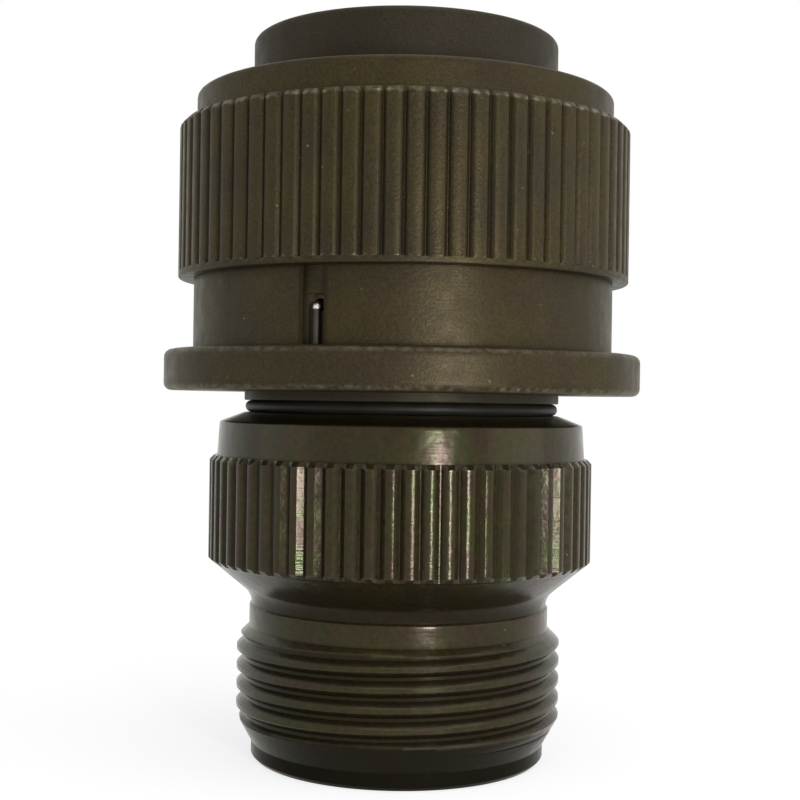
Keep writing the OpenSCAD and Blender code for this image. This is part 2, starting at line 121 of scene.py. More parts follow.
def paleFloor():
    bm = bmesh.new()
    bmesh.ops.create_grid(bm, x_segments=1, y_segments=1, size=studioSet["floorWidth"] / 2)
    mesh = bpy.data.meshes.new("floor")
    bm.to_mesh(mesh)
    bm.free()
    floor = bpy.data.objects.new("floor", mesh)
    bpy.context.scene.collection.objects.link(floor)
    material = bpy.data.materials.new("paleFloor")
    material.use_nodes = True
    tree = material.node_tree
    tree.nodes.clear()
    shown = tree.nodes.new("ShaderNodeBsdfDiffuse")
    shown.inputs["Color"].default_value = studioSet["floorColour"]
    glow = tree.nodes.new("ShaderNodeEmission")
    pale = tree.nodes.new("ShaderNodeMixShader")
    pale.inputs["Fac"].default_value, glow.inputs["Strength"].default_value = studioSet["floorGlow"]
    bounce = tree.nodes.new("ShaderNodeBsdfDiffuse")
    bounce.inputs["Color"].default_value = studioSet["floorBounce"]
    both = tree.nodes.new("ShaderNodeMixShader")
    output = tree.nodes.new("ShaderNodeOutputMaterial")
    tree.links.new(shown.outputs[0], pale.inputs[1])
    tree.links.new(glow.outputs[0], pale.inputs[2])
    tree.links.new(seenRays(tree), both.inputs["Fac"])
    tree.links.new(bounce.outputs[0], both.inputs[1])
    tree.links.new(pale.outputs[0], both.inputs[2])
    tree.links.new(both.outputs[0], output.inputs["Surface"])
    mesh.materials.append(material)


def addLight(name, kind, spot, aim, power):
    light = bpy.data.objects.new(name, bpy.data.lights.new(name, kind))
    bpy.context.scene.collection.objects.link(light)
    light.data.energy = power
    light.location = spot
    light.rotation_euler = (Vector(aim) - Vector(spot)).to_track_quat("-Z", "Y").to_euler()
    light.visible_camera = False
    return light


def lightStudio():
    whiteWorld()
    paleFloor()
    sun = addLight("skySun", "SUN", studioSet["sunSpot"], (0, 0, 0), studioSet["sunPower"])
    sun.data.angle = math.radians(studioSet["sunAngle"])
    for name, (azimuth, distance, height, width, tall, power) in studioSet["boxes"].items():
        angle = math.radians(azimuth - 90)
        spot = (distance * math.cos(angle), distance * math.sin(angle), height)
        box = addLight(name, "AREA", spot, (0, 0, height), power)
        box.data.shape = "RECTANGLE"
        box.data.size = width
        box.data.size_y = tall


placeCamera()
lightStudio()
bpy.context.scene.view_settings.view_transform = "Standard"
print("camera and studio placed")


# Shared modelling steps

def drawProfile(bm, corners, closed=True):
    # corners are (radius, height, rounding) in mm on the XZ plane
    points = [bm.verts.new((r * mm, 0, z * mm)) for r, z, rounding in corners]
    ends = points[1:] + points[:1] if closed else points[1:]
    for start, end in zip(points, ends):
        bm.edges.new((start, end))
    for size in sorted({rounding for r, z, rounding in corners if rounding}):
        chosen = [p for p, corner in zip(points, corners) if corner[2] == size]
        bmesh.ops.bevel(bm, geom=chosen, offset=size * mm, affect="VERTICES",
                        segments=roundSteps, profile=0.5, material=-1)


def holdCorners(bm, gap):
    # a point near both ends of each long edge keeps shading and wear close to the corners
    for edge in list(bm.edges):
        length = edge.calc_length()
        if length > 3 * gap * mm:
            start, end = edge.verts
            part = bmesh.utils.edge_split(edge, start, gap * mm / length)[0]
            rest = max((edge, part), key=lambda e: e.calc_length())
            bmesh.utils.edge_split(rest, end, gap * mm / rest.calc_length())


def turnAbout(bm, angle, axis="Z"):
    bmesh.ops.rotate(bm, verts=bm.verts, cent=(0, 0, 0), matrix=Matrix.Rotation(angle, 3, axis))


def cleanMesh(bm):
    bmesh.ops.remove_doubles(bm, verts=bm.verts, dist=weldGap)
    bmesh.ops.recalc_face_normals(bm, faces=bm.faces)


def lathe(bm, steps, startAngle=0.0):
    turnAbout(bm, startAngle)
    bmesh.ops.spin(bm, geom=bm.verts[:] + bm.edges[:], cent=(0, 0, 0), axis=(0, 0, 1),
                   dvec=(0, 0, 0), angle=fullTurn, steps=steps, use_merge=True, use_duplicate=False)
    cleanMesh(bm)


def cutTeeth(bm, piece, crest, startAngle, low, high):
    # a piece's tooth gives each column as (place in the pitch, share of the depth)
    teeth, outline, depth = piece["teeth"], piece["tooth"], piece["toothDepth"]
    pitch = fullTurn / teeth
    step = pitch / len(outline)
    rolled = bm.verts.layers.float.new("knurled")
    for vert in bm.verts:
        radius = math.hypot(vert.co.x, vert.co.y)
        inside = low * mm - weldGap < vert.co.z < high * mm + weldGap
        if inside and radius > (crest - depth) * mm - weldGap:
            column = round((math.atan2(vert.co.y, vert.co.x) - startAngle) / step)
            tooth, place = divmod(column, len(outline))
            share, cut = outline[place]
            angle = startAngle + (tooth + share - outline[0][0]) * pitch
            reach = min(radius, (crest - cut * depth) * mm)
            vert.co.x = reach * math.cos(angle)
            vert.co.y = reach * math.sin(angle)
            vert[rolled] = 1


# bends in radians, the most wear that an edge and a corner add, and the inward bend at which a crease gets
# its full painted shade
wearSet = {"bendFrom": 0.3, "edgeMost": 0.4, "cornerBend": 0.4, "cornerMost": 0.6, "paintedShadeBend": 0.8}


def markEdges(bm):
    # how far a vertex stands out as an edge or a corner, for wear,
    # and how far it lies in a crease, for the painted shade that darkens it
    wear = bm.verts.layers.float.new("edgeWear")
    paintedShade = bm.verts.layers.float.new("paintedShadeAmount")
    bm.normal_update()
    for vert in bm.verts:
        bends = [e.calc_face_angle_signed(0) for e in vert.link_edges if len(e.link_faces) == 2]
        corner = fullTurn - sum(loop.calc_angle() for loop in vert.link_loops)
        edge = max(bends, default=0) - wearSet["bendFrom"]
        edgePart = min(max(edge, 0), wearSet["edgeMost"])
        cornerPart = min(max(corner / wearSet["cornerBend"], 0), wearSet["cornerMost"])
        vert[wear] = edgePart + cornerPart
        vert[paintedShade] = min(max(-min(bends, default=0) / wearSet["paintedShadeBend"], 0), 1)


def markBand(bm, name, low, high, amount):
    # the same amount of painted shade or of wear between two heights, as shade in a cove or wear along a
    # rim
    layer = bm.verts.layers.float[name]
    for vert in bm.verts:
        if low * mm - weldGap < vert.co.z < high * mm + weldGap:
            vert[layer] = amount


def cutAway(name, bm, cutters):
    # takes the cutters' bodies out of a solid
    mesh = bpy.data.meshes.new(name)
    bm.to_mesh(mesh)
    body = bpy.data.objects.new(name, mesh)
    bpy.context.scene.collection.objects.link(body)
    for cutter in cutters:
        tool = bpy.data.meshes.new("cutter")
        cutter.to_mesh(tool)
        cutter.free()
        toolBody = bpy.data.objects.new("cutter", tool)
        bpy.context.scene.collection.objects.link(toolBody)
        cut = body.modifiers.new("cut", "BOOLEAN")
        cut.operation = "DIFFERENCE"
        cut.solver = "EXACT"
        cut.object = toolBody
        bpy.context.view_layer.update()
        evaluated = body.evaluated_get(bpy.context.evaluated_depsgraph_get())
        result = bpy.data.meshes.new_from_object(evaluated)
        body.modifiers.clear()
        body.data = result
        bpy.data.objects.remove(toolBody)
        bpy.data.meshes.remove(tool)
    bm.clear()
    bm.from_mesh(body.data)
    bpy.data.objects.remove(body)
    bmesh.ops.remove_doubles(bm, verts=bm.verts, dist=weldGap / 2)


def blockCutter(low, high, angle):
    # a box between two corners in mm, turned about the axis
    bm = bmesh.new()
    size = Vector(high) - Vector(low)
    middle = (Vector(high) + Vector(low)) / 2
    bmesh.ops.create_cube(bm, size=mm)
    bmesh.ops.scale(bm, verts=bm.verts, vec=size)
    bmesh.ops.translate(bm, verts=bm.verts, vec=middle * mm)
    turnAbout(bm, angle)
    return bm


def radialCutter(radius, inner, outer, height, angle):
    # a drill that points out from the axis
    bm = bmesh.new()
    bmesh.ops.create_cone(bm, cap_ends=True, segments=drillSides, radius1=radius * mm,
                          radius2=radius * mm, depth=(outer - inner) * mm)
    turnAbout(bm, math.radians(90), "Y")
    bmesh.ops.translate(bm, verts=bm.verts, vec=((outer + inner) / 2 * mm, 0, height * mm))
    turnAbout(bm, angle)
    return bm


def finishPiece(bm, name, material, body, slot, *replaced, sharp=28):
    if "edgeWear" not in bm.verts.layers.float:
        markEdges(bm)
    mesh = bpy.data.meshes.new(name)
    bm.to_mesh(mesh)
    bm.free()
    mesh.shade_smooth()
    mesh.set_sharp_from_angle(angle=math.radians(sharp))
    mesh.materials.append(material)
    piece = bpy.data.objects.new(name, mesh)
    bpy.context.scene.collection.objects.link(piece)
    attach(piece, body)
    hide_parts(*replaced)
    print(name, len(mesh.polygons), "faces")
    return piece


# Materials

def newMaterial(name):
    material = bpy.data.materials.new(name)
    material.use_nodes = True
    tree = material.node_tree
    place = tree.nodes.new("ShaderNodeTexCoord")
    return material, tree, tree.nodes["Principled BSDF"], place.outputs["Object"]


def noiseOf(tree, place, size, detail=3.0, stretch=(1, 1, 1)):
    # grain of about that size in mm
    turned = tree.nodes.new("ShaderNodeMapping")
    turned.inputs["Scale"].default_value = stretch
    noise = tree.nodes.new("ShaderNodeTexNoise")
    noise.inputs["Scale"].default_value = 1 / (size * mm)
    noise.inputs["Detail"].default_value = detail
    tree.links.new(place, turned.inputs["Vector"])
    tree.links.new(turned.outputs["Vector"], noise.inputs["Vector"])
    return noise.outputs["Fac"]


def spread(tree, value, low, high, toLow=0.0, toHigh=1.0):
    node = tree.nodes.new("ShaderNodeMapRange")
    node.inputs["From Min"].default_value = low
    node.inputs["From Max"].default_value = high
    node.inputs["To Min"].default_value = toLow
    node.inputs["To Max"].default_value = toHigh
    tree.links.new(value, node.inputs["Value"])
    return node.outputs["Result"]


def joined(tree, operation, first, second):
    node = tree.nodes.new("ShaderNodeMath")
    node.operation = operation
    for socket, value in zip(node.inputs, (first, second)):
        if isinstance(value, (int, float)):
            socket.default_value = value
        else:
            tree.links.new(value, socket)
    return node.outputs[0]


def mixed(tree, share, first, second, blend="MIX"):
    node = tree.nodes.new("ShaderNodeMix")
    node.data_type = "RGBA"
    node.blend_type = blend
    if isinstance(share, (int, float)):
        node.inputs["Factor"].default_value = share
    else:
        tree.links.new(share, node.inputs["Factor"])
    for name, value in (("A", first), ("B", second)):
        socket = [i for i in node.inputs if i.name == name and i.type == "RGBA"][0]
        if isinstance(value, tuple):
            socket.default_value = (*value, 1)
        else:
            tree.links.new(value, socket)
    return [o for o in node.outputs if o.type == "RGBA"][0]


def markOf(tree, name):
    # an amount that the modelling steps left on the vertices
    node = tree.nodes.new("ShaderNodeAttribute")
    node.attribute_name = name
    return node.outputs["Fac"]


def addBump(tree, shader, height, depth):
    bump = tree.nodes.new("ShaderNodeBump")
    bump.inputs["Distance"].default_value = depth * mm
    bump.inputs["Strength"].default_value = 1
    tree.links.new(height, bump.inputs["Height"])
    tree.links.new(bump.outputs["Normal"], shader.inputs["Normal"])


# Olive chromate, with an own finish for the ring, the shell and the backshell; each also holds how dark its
# painted shade in hollows gets, and a lighter brown painted as light in a shaded pocket
ringFinish = {
    "olive": (0.041, 0.032, 0.0135), "brown": (0.034, 0.0262, 0.015), "speck": (0.15, 0.13, 0.095),
    "bare": (0.24, 0.215, 0.16), "cut": (0.10, 0.078, 0.05), "sheen": ((1, 0.95, 0.85), (1, 1, 0.9)),
    "metal": 0.45, "gloss": 0.1, "rough": (0.36, 0.48), "grain": 0.16, "bump": (0.014, 0.022),
    "turned": 0.3, "wave": 0.004, "specks": 0.07, "wearFrom": 0.6, "paintedShade": 0.4,
}
shellFinish = {
    "olive": (0.032, 0.0262, 0.0155), "brown": (0.028, 0.0225, 0.0145), "speck": (0.15, 0.14, 0.12),
    "bare": (0.2, 0.19, 0.17), "cut": (0.04, 0.035, 0.025), "sheen": ((1, 0.95, 0.85), (1, 0.97, 0.9)),
    "metal": 0.3, "gloss": 0.1, "rough": (0.42, 0.55), "grain": 0.12, "bump": (0.008, 0.008),
    "turned": 0.6, "wave": 0.0, "specks": 0.04, "wearFrom": 0.62, "paintedShade": 0.4,
}
backFinish = {
    "olive": (0.027, 0.021, 0.007), "brown": (0.024, 0.0175, 0.008), "speck": (0.15, 0.14, 0.12),
    "bare": (0.13, 0.115, 0.09), "cut": (0.02, 0.015, 0.01), "sheen": ((1, 0.76, 0.7), (0.84, 1, 0.6)),
    "metal": 0.1, "gloss": 0.26, "rough": (0.17, 0.26), "grain": 0.3, "bump": (0.004, 0.014),
    "turned": 1.0, "wave": 0.016, "specks": 0.05, "wearFrom": 0.66, "paintedShade": 0.33,
}
# sizes in mm of the patterns that the three share, the part of each noise that shows as a band,
# and the near black colour of the painted shade in hollows
chromate = {
    "cloud": 4.0, "dots": 0.75, "sparse": 2.2, "patch": 0.45, "rough": 1.2, "sheen": 1.8,
    "turning": 0.12, "turningStretch": (0.02, 0.02, 1), "wave": 0.7, "paintedShade": (0.006, 0.005, 0.004),
    "cloudBand": (0.35, 0.65), "grainBand": (0.25, 0.75), "grainShade": (0.72, 1.28),
    "sparseBand": (0.59, 0.69), "speckSoft": 1.8, "wearBand": (-0.2, 0.1), "wearPower": 2,
    "roughBand": (0.3, 0.7), "sheenBand": (0.4, 0.6),
}


def chromateFinish(name, look):
    # cloudy colour, fine grain, light specks, edges worn to the metal, painted shade in hollows and painted
    # light in a shaded pocket
    material, tree, shader, place = newMaterial(name)
    cloud = spread(tree, noiseOf(tree, place, chromate["cloud"], 4), *chromate["cloudBand"])
    colour = mixed(tree, cloud, look["olive"], look["brown"])
    grain = noiseOf(tree, place, look["grain"], 2)
    grain = spread(tree, grain, *chromate["grainBand"], *chromate["grainShade"])
    shade = tree.nodes.new("ShaderNodeCombineColor")
    for channel in ("Red", "Green", "Blue"):
        tree.links.new(grain, shade.inputs[channel])
    colour = mixed(tree, 1.0, colour, shade.outputs["Color"], "MULTIPLY")
    dots = tree.nodes.new("ShaderNodeTexVoronoi")
    dots.inputs["Scale"].default_value = 1 / (chromate["dots"] * mm)
    tree.links.new(place, dots.inputs["Vector"])
    speckEdge = look["specks"] * chromate["speckSoft"]
    small = spread(tree, dots.outputs["Distance"], look["specks"], speckEdge, 1, 0)
    sparse = spread(tree, noiseOf(tree, place, chromate["sparse"], 2), *chromate["sparseBand"])
    specks = joined(tree, "MULTIPLY", small, sparse)
    colour = mixed(tree, specks, colour, look["speck"])
    patchy = noiseOf(tree, place, chromate["patch"], 4)
    patchy = spread(tree, patchy, *(look["wearFrom"] + side for side in chromate["wearBand"]))
    edges = joined(tree, "POWER", markOf(tree, "edgeWear"), chromate["wearPower"])
    worn = joined(tree, "MULTIPLY", edges, patchy)
    colour = mixed(tree, worn, colour, look["bare"])
    # painted shade: marked hollows turn near black and lose their gloss
    paintedShadeShare = joined(tree, "MULTIPLY", markOf(tree, "paintedShadeAmount"), look["paintedShade"])
    colour = mixed(tree, paintedShadeShare, colour, chromate["paintedShade"])
    # painted light: the wire pocket's shaded floor and walls get a lighter brown
    colour = mixed(tree, markOf(tree, "paintedPocketLight"), colour, look["cut"])
    tree.links.new(colour, shader.inputs["Base Color"])
    bareMetal = spread(tree, worn, 0, 1, look["metal"], 1)
    tree.links.new(bareMetal, shader.inputs["Metallic"])
    roughness = noiseOf(tree, place, chromate["rough"], 3)
    roughness = spread(tree, roughness, *chromate["roughBand"], *look["rough"])
    tree.links.new(roughness, shader.inputs["Roughness"])
    gloss = spread(tree, paintedShadeShare, 0, 1, look["gloss"], 0)
    tree.links.new(gloss, shader.inputs["Specular IOR Level"])
    tints = spread(tree, noiseOf(tree, place, chromate["sheen"], 2), *chromate["sheenBand"])
    tree.links.new(mixed(tree, tints, *look["sheen"]), shader.inputs["Specular Tint"])
    lines = noiseOf(tree, place, chromate["turning"], 2, chromate["turningStretch"])
    turning = joined(tree, "MULTIPLY", lines, look["turned"])
    depth = spread(tree, markOf(tree, "knurled"), 0, 1, *look["bump"])
    fine = joined(tree, "ADD", turning, noiseOf(tree, place, look["grain"], 3))
    fine = joined(tree, "MULTIPLY", fine, depth)
    waves = joined(tree, "MULTIPLY", noiseOf(tree, place, chromate["wave"], 1), look["wave"])
    addBump(tree, shader, joined(tree, "ADD", fine, waves), 1)
    return material


ringOlive = chromateFinish("ringOlive", ringFinish)
shellOlive = chromateFinish("shellOlive", shellFinish)
backOlive = chromateFinish("backOlive", backFinish)

# Rubber, plastic and bare metals, with the sizes of their patterns in mm
rubberFinish = {
    "black": (0.009, 0.008, 0.006), "grey": (0.016, 0.014, 0.011), "cloud": 1.5, "grain": 0.1,
    "band": (0.3, 0.7), "rough": (0.42, 0.55), "shine": 0.2, "bump": 0.01,
}


def rubberMaterial():
    material, tree, shader, place = newMaterial("blackRubber")
    cloud = spread(tree, noiseOf(tree, place, rubberFinish["cloud"], 4), *rubberFinish["band"])
    colour = mixed(tree, cloud, rubberFinish["black"], rubberFinish["grey"])
    tree.links.new(colour, shader.inputs["Base Color"])
    fine = noiseOf(tree, place, rubberFinish["grain"], 2)
    roughness = spread(tree, fine, *rubberFinish["band"], *rubberFinish["rough"])
    tree.links.new(roughness, shader.inputs["Roughness"])
    shader.inputs["Specular IOR Level"].default_value = rubberFinish["shine"]
    addBump(tree, shader, fine, rubberFinish["bump"])
    return material


plasticFinish = {
    "dark": (0.016, 0.017, 0.018), "pale": (0.026, 0.027, 0.027), "cloud": 2.5, "grain": 0.14,
    "band": (0.3, 0.7), "rough": (0.4, 0.55), "bump": 0.008,
}


def plasticMaterial():
    material, tree, shader, place = newMaterial("insertPlastic")
    cloud = spread(tree, noiseOf(tree, place, plasticFinish["cloud"], 4), *plasticFinish["band"])
    colour = mixed(tree, cloud, plasticFinish["dark"], plasticFinish["pale"])
    tree.links.new(colour, shader.inputs["Base Color"])
    fine = noiseOf(tree, place, plasticFinish["grain"], 3)
    roughness = spread(tree, fine, *plasticFinish["band"], *plasticFinish["rough"])
    tree.links.new(roughness, shader.inputs["Roughness"])
    addBump(tree, shader, fine, plasticFinish["bump"])
    return material


steelFinish = {
    "bright": (0.62, 0.61, 0.58), "dull": (0.4, 0.39, 0.36),
    "rough": (0.18, 0.34), "metal": 1, "bump": 0.002,
}
wireFinish = {
    "bright": (0.055, 0.045, 0.034), "dull": (0.042, 0.034, 0.025),
    "rough": (0.6, 0.7), "metal": 0.5, "bump": 0.001,
}
goldFinish = {
    "bright": (0.83, 0.60, 0.23), "dull": (0.62, 0.42, 0.15),
    "rough": (0.2, 0.36), "metal": 1, "bump": 0.002,
}
metalGrain = {
    "cloud": 1.2, "cloudBand": (0.35, 0.65), "lines": 0.06, "linesBand": (0.3, 0.7),
    # the near white of a painted glint
    "stretch": (0.05, 0.05, 1), "polished": (0.9, 0.88, 0.84),
}


def metalMaterial(name, look):
    # bare drawn or turned metal with fine lines round the axis, and a painted glint where marked
    material, tree, shader, place = newMaterial(name)
    cloud = spread(tree, noiseOf(tree, place, metalGrain["cloud"], 4), *metalGrain["cloudBand"])
    colour = mixed(tree, cloud, look["bright"], look["dull"])
    # painted glint: near white where the vertices are marked
    colour = mixed(tree, markOf(tree, "paintedGlint"), colour, metalGrain["polished"])
    tree.links.new(colour, shader.inputs["Base Color"])
    lines = noiseOf(tree, place, metalGrain["lines"], 2, metalGrain["stretch"])
    roughness = spread(tree, lines, *metalGrain["linesBand"], *look["rough"])
    tree.links.new(roughness, shader.inputs["Roughness"])
    shader.inputs["Metallic"].default_value = look["metal"]
    addBump(tree, shader, lines, look["bump"])
    return material


blackRubber = rubberMaterial()
insertPlastic = plasticMaterial()
springSteel = metalMaterial("springSteel", steelFinish)
agedWire = metalMaterial("agedWire", wireFinish)
contactGold = metalMaterial("contactGold", goldFinish)
print("materials made")


# Coupling ring: rear flange, smooth band with the wire slot, knurl, lip, and the bayonet bore
ring = {
    "flangeRadius": 16.3, "flangeHeight": 2.75, "flangeRound": 0.5, "bandRadius": 14.37,
    "knurlLow": 7.6, "knurlHigh": 18.0, "knurlRadius": 15.43, "knurlChamfer": 0.3,
    "rimHeight": 0.4, "rimChamfer": 0.12, "rimGap": 0.03,
    "lipRadius": 14.3, "lipRound": 0.3, "mouthChamfer": 0.3, "mouthRound": 0.08,
    "boreRadius": 12.75, "boreLow": 8.45, "pocketRadius": 12.43, "pocketLow": 2.35,
    "collarBore": 10.91, "collarRound": 0.12,
    "grooveRadius": 12.73, "grooveLow": 4.95, "grooveHigh": 5.55,
    "teeth": 74, "toothDepth": 0.26,
    "tooth": ((-0.32, 0.12), (-0.27, 0), (0, 0), (0.27, 0), (0.32, 0.12), (0.475, 1), (0.525, 1)),
    "slotAngle": -112, "slotWidth": 1.38, "slotDepth": 0.3, "slotPast": 0.5, "slotNear": 0.05,
    "pocketDepth": 1.0, "pocketTop": 5.89, "holeRadius": 0.4, "holeHeight": 5.25, "holePast": 0.2,
    "ramps": 3, "rampArc": 92, "rampWidth": 2.2, "rampDepth": 0.9, "rampMiddle": 15.23,
    "rampRise": 1.73, "rampReach": 1.5, "rampSteps": 48,
    "entryClear": 0.1, "entryPast": 12, "lockRise": 0.35,
    # next, the corner hold, how far the painted shade reaches past the slot's edges, and a hair's gap
    "cornerHold": 0.18, "paintedShadeWidth": 0.25, "hair": 0.01,
    "marks": (("edgeWear", 0.1, 0.35, 0.56), ("edgeWear", 2.4, 2.65, 0.45)),
}


def rampCutters(base):
    # each bayonet ramp is a slanted groove from an entry slot down to a round locking pocket
    cutters = []
    inner, outer = ring["boreRadius"] - ring["rampReach"], ring["boreRadius"] + ring["rampDepth"]
    half, steps = math.radians(ring["rampArc"]) / 2, ring["rampSteps"]
    middle, rise, wide = base + ring["rampMiddle"], ring["rampRise"], ring["rampWidth"] / 2
    entryWide, entryLow = wide + ring["entryClear"], middle + rise - wide
    entryTop = entryLow + ring["entryPast"]
    for turn in range(ring["ramps"]):
        angle = turn * fullTurn / ring["ramps"]
        groove = bmesh.new()
        corners = [(inner, -wide), (outer, -wide), (outer, wide), (inner, wide)]
        points = [groove.verts.new((r * mm, 0, (middle - rise + z) * mm)) for r, z in corners]
        start = groove.faces.new(points)
        turnAbout(groove, angle - half)
        bmesh.ops.spin(groove, geom=[start], cent=(0, 0, 0), axis=(0, 0, 1),
                       dvec=(0, 0, 2 * rise * mm / steps), angle=2 * half, steps=steps,
                       use_merge=False, use_duplicate=False)
        cleanMesh(groove)
        entry = blockCutter((inner, -entryWide, entryLow), (outer, entryWide, entryTop), angle + half)
        lock = radialCutter(entryWide, inner, outer, middle - rise + ring["lockRise"], angle - half)
        cutters += [groove, entry, lock]
    return cutters


def slotCutters(base):
    angle = math.radians(ring["slotAngle"])
    band, wide = ring["bandRadius"], ring["slotWidth"] / 2
    past, hair = ring["slotPast"], ring["hair"]
    low = base + ring["flangeHeight"] + hair
    slotTop, pocketTop = base + ring["knurlLow"] - hair, base + ring["pocketTop"]
    slotFloor, pocketFloor = band - ring["slotDepth"], band - ring["pocketDepth"]
    shallow = blockCutter((slotFloor, -wide, low), (band + past, wide, slotTop), angle)
    deep = blockCutter((pocketFloor, -wide, low), (band + past, wide, pocketTop), angle)
    hole = radialCutter(ring["holeRadius"], ring["pocketRadius"] - ring["holePast"],
                        pocketFloor + ring["holePast"], base + ring["holeHeight"], angle)
    return [shallow, deep, hole]


def markSlot(bm, base):
    # painted light, a lighter brown, on the shaded pocket, and painted shade along the slot's edges
    bare = bm.verts.layers.float.new("paintedPocketLight")
    paintedShade = bm.verts.layers.float["paintedShadeAmount"]
    turn = Matrix.Rotation(-math.radians(ring["slotAngle"]), 3, "Z")
    near, floor, edge = ring["slotNear"], ring["bandRadius"] - ring["pocketDepth"], ring["slotWidth"] / 2
    for vert in bm.verts:
        spot = turn @ vert.co / mm
        side, height = abs(spot.y), spot.z - base
        depth = ring["bandRadius"] - math.hypot(spot.x, spot.y)
        within = spot.x > floor - near and side < edge + ring["paintedShadeWidth"]
        if within and ring["flangeHeight"] < height < ring["knurlLow"]:
            if depth > ring["slotDepth"] + near:
                vert[bare] = 1
            elif depth < near and side > edge - ring["hair"]:
                vert[paintedShade] = 1


def makeCouplingRing():
    low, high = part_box("coupling_ring")
    base, top = low.z / mm, high.z / mm
    knurlLow, knurlHigh = base + ring["knurlLow"], base + ring["knurlHigh"]
    rimTop = knurlLow + ring["rimHeight"]
    toothLow = rimTop + ring["rimGap"]
    knurl, chamfer, band = ring["knurlRadius"], ring["knurlChamfer"], ring["bandRadius"]
    lip, mouth, flange = ring["lipRadius"], ring["mouthChamfer"], ring["flangeRadius"]
    flangeTop, flangeRound = base + ring["flangeHeight"], ring["flangeRound"]
    bore, boreLow = ring["boreRadius"], base + ring["boreLow"]
    pocket, pocketLow, collar = ring["pocketRadius"], base + ring["pocketLow"], ring["collarBore"]
    groove, grooveLow = ring["grooveRadius"], base + ring["grooveLow"]
    grooveHigh = base + ring["grooveHigh"]
    bm = bmesh.new()
    drawProfile(bm, [
        (bore, top - 2 * mouth, 0), (bore, boreLow, 0), (pocket, boreLow, 0), (pocket, grooveHigh, 0),
        (groove, grooveHigh, 0), (groove, grooveLow, 0), (pocket, grooveLow, 0), (pocket, pocketLow, 0),
        (collar, pocketLow, 0), (collar, base, ring["collarRound"]),
        (flange, base, flangeRound), (flange, flangeTop, flangeRound),
        (band, flangeTop, 0), (band, knurlLow, 0),
        (knurl, knurlLow, ring["rimChamfer"]), (knurl, rimTop, 0), (knurl, toothLow, 0),
        (knurl, knurlHigh - chamfer, 0), (knurl - chamfer, knurlHigh, 0),
        (lip, knurlHigh, 0), (lip, top, ring["lipRound"]), (bore + mouth, top, ring["mouthRound"]),
    ])
    holdCorners(bm, ring["cornerHold"])
    pitch = fullTurn / ring["teeth"]
    startAngle = math.radians(ring["slotAngle"]) + ring["tooth"][0][0] * pitch
    lathe(bm, ring["teeth"] * len(ring["tooth"]), startAngle)
    cutTeeth(bm, ring, knurl, startAngle, toothLow, knurlHigh)
    markEdges(bm)
    for name, markLow, markHigh, amount in ring["marks"]:
        markBand(bm, name, base + markLow, base + markHigh, amount)
    cutAway("couplingRing", bm, slotCutters(base) + rampCutters(base))
    markSlot(bm, base)
    finishPiece(bm, "couplingRing", ringOlive, "coupling", "olive_ring", "coupling_ring")


makeCouplingRing()


# Backshell: pilot, accessory thread, neck, flare, toothed grip and cuff
back = {
    "cableRadius": 8.0, "seatRadius": 9.95, "seatLow": 16.25,
    "pilotRadius": 10.05, "pilotTop": 1.15, "rim": 0.3,
    "threadRadius": 11.1, "threadLow": 3.05, "threadHigh": 8.15, "threadEnd": 8.95,
    "pitch": 1.27, "threadDepth": 0.45, "threadPhase": 0.66,
    "threadForm": ((0, 0.06), (0.03, 0), (0.14, 0), (0.25, 0), (0.28, 0.06),
                   (0.42, 0.5), (0.56, 1), (0.64, 1), (0.72, 1), (0.86, 0.5)),
    "neckRadius": 10.28, "neckTop": 10.5, "coveStep": 0.14, "coveLow": 11.155, "coveRound": 0.66,
    "gripRadius": 13.15, "gripLow": 13.65, "gripHigh": 20.55, "teeth": 66, "toothDepth": 0.34,
    "tooth": ((-0.2, 0.1), (-0.11, 0.025), (0, 0), (0.11, 0.025), (0.2, 0.1), (0.47, 1), (0.53, 1)),
    "cuffRadius": 12.63, "cuffTopRadius": 12.48, "cuffTop": 22.85, "crownRadius": 10.8,
    "edgeRound": 0.06, "entryRound": 0.25, "crownRound": 0.08, "cuffRound": 0.1, "neckRound": 0.03,
    # the thread's roots, the pilot and its lead-in, the cove under the grip and the crown under the collar
    # and the ring's flange get painted shade; the top edge gets wear
    "cornerHold": 0.18, "sharp": 20, "roots": (0.2, 1.2), "paintedRootShade": 1.5,
    "marks": (("paintedShadeAmount", 0, 2.9, 2.2), ("paintedShadeAmount", 0, 1.15, 2.6), ("paintedShadeAmount", 10.5, 12, 1.5),
              ("paintedShadeAmount", 12, 13.4, 0.4), ("paintedShadeAmount", 22.85, 23.4, 1.6), ("edgeWear", 23.41, 23.5, 1)),
}


def threadEnvelope(height):
    # the lead-in and run-out chamfers bound the thread
    leadIn = (height - back["pilotTop"]) / (back["threadLow"] - back["pilotTop"])
    runOut = (back["threadEnd"] - height) / (back["threadEnd"] - back["threadHigh"])
    lower = back["pilotRadius"] + (back["threadRadius"] - back["pilotRadius"]) * leadIn
    upper = back["neckRadius"] + (back["threadRadius"] - back["neckRadius"]) * runOut
    return min(lower, upper, back["threadRadius"])


